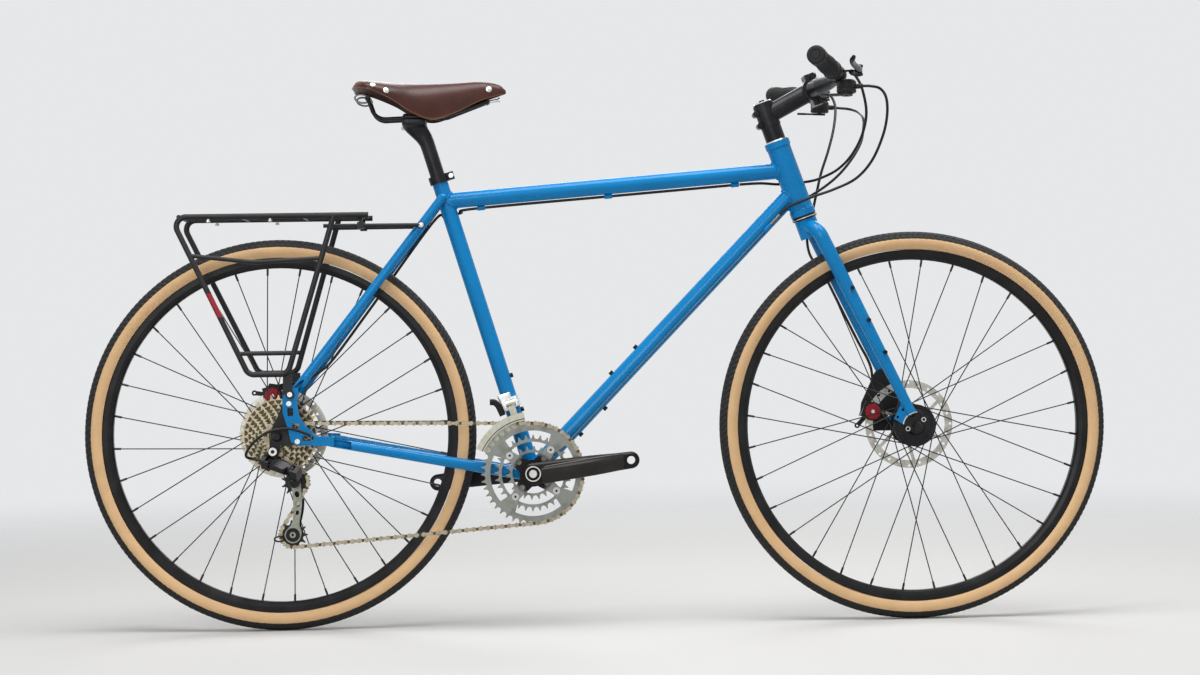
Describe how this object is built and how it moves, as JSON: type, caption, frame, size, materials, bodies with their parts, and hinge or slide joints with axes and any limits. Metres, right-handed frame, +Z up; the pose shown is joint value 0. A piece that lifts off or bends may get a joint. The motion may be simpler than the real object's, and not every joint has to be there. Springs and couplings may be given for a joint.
{
  "type": "touring bicycle",
  "caption": "Flat-bar touring bicycle with cable disc brakes, triple crankset, wide-range rear gears, leather saddle and a tubular rear rack.",
  "frame": {"origin": "on the ground, under the middle of the bicycle's box", "axes": "+X forward, +Y to the rider's left, +Z up"},
  "size_m": [1.838, 0.6698, 0.9993],
  "materials": {
    "blue_paint": "gloss",
    "black_alloy": "satin",
    "black_steel": "satin",
    "black_plastic": "matt",
    "grip_rubber": "matt",
    "tyre_rubber": "matt",
    "silver_alloy": "satin",
    "steel": "brushed",
    "leather": "satin"
  },
  "bodies": {
    "frame": {"head_tube": "blue_paint", "top_tube": "blue_paint", "down_tube": "blue_paint", "seat_tube": "blue_paint", "bottom_bracket_shell": "blue_paint", "rear_stays": "blue_paint", "axle_plates": "black_alloy", "frame_fasteners": "black_steel", "bearing_cups": "black_steel", "rear_rack": "black_alloy", "front_derailleur_clamp": "silver_alloy", "rear_caliper": "black_alloy", "rear_axle": "black_steel", "frame_cables": "black_plastic", "control_housings": "black_plastic", "chain": "steel", "derailleur_knuckle": "black_alloy"},
    "steering": {"fork_steerer": "blue_paint", "fork_blades": "blue_paint", "stem": "black_alloy", "stem_faceplate": "black_alloy", "steering_bolts": "black_steel", "handlebar": "black_alloy", "grips": "grip_rubber", "control_brackets": "black_plastic", "front_caliper": "black_alloy", "front_axle": "black_steel", "front_brake_housing": "black_plastic"},
    "front_wheel": {"front_hub": "black_alloy", "front_rim": "black_alloy", "front_spokes": "steel", "front_tyre": "tyre_rubber", "front_rotor": "steel"},
    "rear_wheel": {"rear_hub": "black_alloy", "rear_rim": "black_alloy", "rear_spokes": "steel", "rear_tyre": "tyre_rubber", "rear_rotor": "steel"},
    "crank": {"right_crank": "black_alloy", "left_crank": "black_alloy", "chainrings": "steel"},
    "cassette": {"cassette": "steel"},
    "seat": {"seatpost": "black_alloy", "saddle_rails": "black_steel", "saddle_cover": "leather"},
    "derailleur_outer_link": {"derailleur_outer_link": "black_alloy"},
    "derailleur_inner_link": {"derailleur_inner_link": "black_alloy"},
    "derailleur_body": {"derailleur_body": "black_alloy"},
    "derailleur_cage": {"derailleur_cage": "steel"},
    "guide_pulley": {"guide_pulley": "black_plastic"},
    "tension_pulley": {"tension_pulley": "black_plastic"},
    "front_derailleur_cage": {"front_derailleur_cage": "steel"},
    "rear_caliper_arm": {"rear_caliper_arm": "black_alloy"},
    "front_caliper_arm": {"front_caliper_arm": "black_alloy"},
    "right_brake_lever": {"right_brake_lever": "black_alloy"},
    "left_brake_lever": {"left_brake_lever": "black_alloy"},
    "right_shift_lever": {"right_shift_lever": "black_alloy"},
    "left_shift_lever": {"left_shift_lever": "black_alloy"},
    "rear_qr_lever": {"rear_qr_lever": "black_alloy"},
    "front_qr_lever": {"front_qr_lever": "black_alloy"}
  },
  "joints": [
    {"name": "steering", "type": "hinge", "parent": "frame", "child": "steering", "pos_m": [0.51904, 0, 0.33231], "axis": [-0.3338, 0, 0.9426], "range_deg": [-70, 70], "deforming": ["control_housings"]},
    {"name": "front_wheel_spin", "type": "hinge", "parent": "steering", "child": "front_wheel", "pos_m": [0.569, 0, 0.35], "axis": [0, 1, 0], "continuous": true},
    {"name": "rear_wheel_spin", "type": "hinge", "parent": "frame", "child": "rear_wheel", "pos_m": [-0.569, 0, 0.35], "axis": [0, 1, 0], "continuous": true},
    {"name": "crank_spin", "type": "hinge", "parent": "frame", "child": "crank", "pos_m": [-0.11888, 0, 0.277], "axis": [0, 1, 0], "continuous": true, "deforming": ["chain"]},
    {"name": "cassette_spin", "type": "hinge", "parent": "frame", "child": "cassette", "pos_m": [-0.569, 0, 0.35], "axis": [0, 1, 0], "continuous": true},
    {"name": "guide_pulley_spin", "type": "hinge", "parent": "derailleur_cage", "child": "guide_pulley", "pos_m": [-0.539, -0.059, 0.269], "axis": [0, 1, 0], "continuous": true},
    {"name": "tension_pulley_spin", "type": "hinge", "parent": "derailleur_cage", "child": "tension_pulley", "pos_m": [-0.54484, -0.059, 0.17558], "axis": [0, 1, 0], "continuous": true},
    {"name": "seat_height", "type": "slide", "parent": "frame", "child": "seat", "axis": [-0.2924, 0, 0.9563], "range_m": [-0.05, 0.05]},
    {"name": "right_brake_pull", "type": "hinge", "parent": "steering", "child": "right_brake_lever", "pos_m": [0.45002, -0.21246, 0.96923], "axis": [-0.0346, -0.0941, -0.995], "range_deg": [0, 12], "stiffness_Nm_per_rad": 1, "springref_deg": -5.73},
    {"name": "left_brake_pull", "type": "hinge", "parent": "steering", "child": "left_brake_lever", "pos_m": [0.45002, 0.21246, 0.96923], "axis": [0.0346, -0.0941, 0.995], "range_deg": [0, 12], "stiffness_Nm_per_rad": 1, "springref_deg": -5.73},
    {"name": "rear_brake_arm", "type": "hinge", "parent": "frame", "child": "rear_caliper_arm", "pos_m": [-0.58764, 0.0625, 0.41955], "axis": [0, 1, 0], "range_deg": [0, 24]},
    {"name": "front_brake_arm", "type": "hinge", "parent": "steering", "child": "front_caliper_arm", "pos_m": [0.50134, 0.05, 0.37462], "axis": [0, 1, 0], "range_deg": [0, 24]},
    {"name": "right_shift_push", "type": "hinge", "parent": "steering", "child": "right_shift_lever", "pos_m": [0.43273, -0.18122, 0.9317], "axis": [0.0346, 0.0941, 0.995], "range_deg": [0, 25], "stiffness_Nm_per_rad": 0.5, "springref_deg": -5.73},
    {"name": "left_shift_push", "type": "hinge", "parent": "steering", "child": "left_shift_lever", "pos_m": [0.43273, 0.18122, 0.9317], "axis": [-0.0346, 0.0941, -0.995], "range_deg": [0, 25], "stiffness_Nm_per_rad": 0.5, "springref_deg": -5.73},
    {"name": "derailleur_swing", "type": "hinge", "parent": "frame", "child": "derailleur_outer_link", "pos_m": [-0.583, -0.081, 0.308], "axis": [0.48, 0.6, 0.64], "range_deg": [0, 55], "stiffness_Nm_per_rad": 1, "springref_deg": -17.19},
    {"name": "derailleur_inner_swing", "type": "hinge", "parent": "frame", "child": "derailleur_inner_link", "pos_m": [-0.58229, -0.07107, 0.29816], "axis": [0.48, 0.6, 0.64], "range_deg": [0, 55]},
    {"name": "derailleur_body_swing", "type": "hinge", "parent": "derailleur_outer_link", "child": "derailleur_body", "pos_m": [-0.54184, -0.09838, 0.29342], "axis": [0.48, 0.6, 0.64], "range_deg": [-55, 0]},
    {"name": "cage_tension", "type": "hinge", "parent": "derailleur_body", "child": "derailleur_cage", "pos_m": [-0.539, -0.076, 0.269], "axis": [0, -1, 0], "range_deg": [0, 45], "stiffness_Nm_per_rad": 0.6, "springref_deg": -17.19},
    {"name": "front_derailleur_swing", "type": "hinge", "parent": "frame", "child": "front_derailleur_cage", "pos_m": [-0.15718, -0.05, 0.40228], "axis": [0.9563, 0, 0.2924], "range_deg": [0, 15], "stiffness_Nm_per_rad": 1, "springref_deg": -11.46},
    {"name": "rear_skewer_open", "type": "hinge", "parent": "frame", "child": "rear_qr_lever", "pos_m": [-0.569, 0.0811, 0.35], "axis": [0, 0, -1], "range_deg": [0, 120]},
    {"name": "front_skewer_open", "type": "hinge", "parent": "steering", "child": "front_qr_lever", "pos_m": [0.569, 0.0646, 0.35], "axis": [0, 0, -1], "range_deg": [0, 120]}
  ],
  "couplings": [
    {"joint": "cassette_spin", "follows": "crank_spin", "ratio": 4},
    {"joint": "guide_pulley_spin", "follows": "crank_spin", "ratio": -4},
    {"joint": "tension_pulley_spin", "follows": "crank_spin", "ratio": 4},
    {"joint": "rear_brake_arm", "follows": "right_brake_pull", "ratio": 2},
    {"joint": "front_brake_arm", "follows": "left_brake_pull", "ratio": 2},
    {"joint": "derailleur_inner_swing", "follows": "derailleur_swing", "ratio": 1},
    {"joint": "derailleur_body_swing", "follows": "derailleur_swing", "ratio": -1}
  ]
}
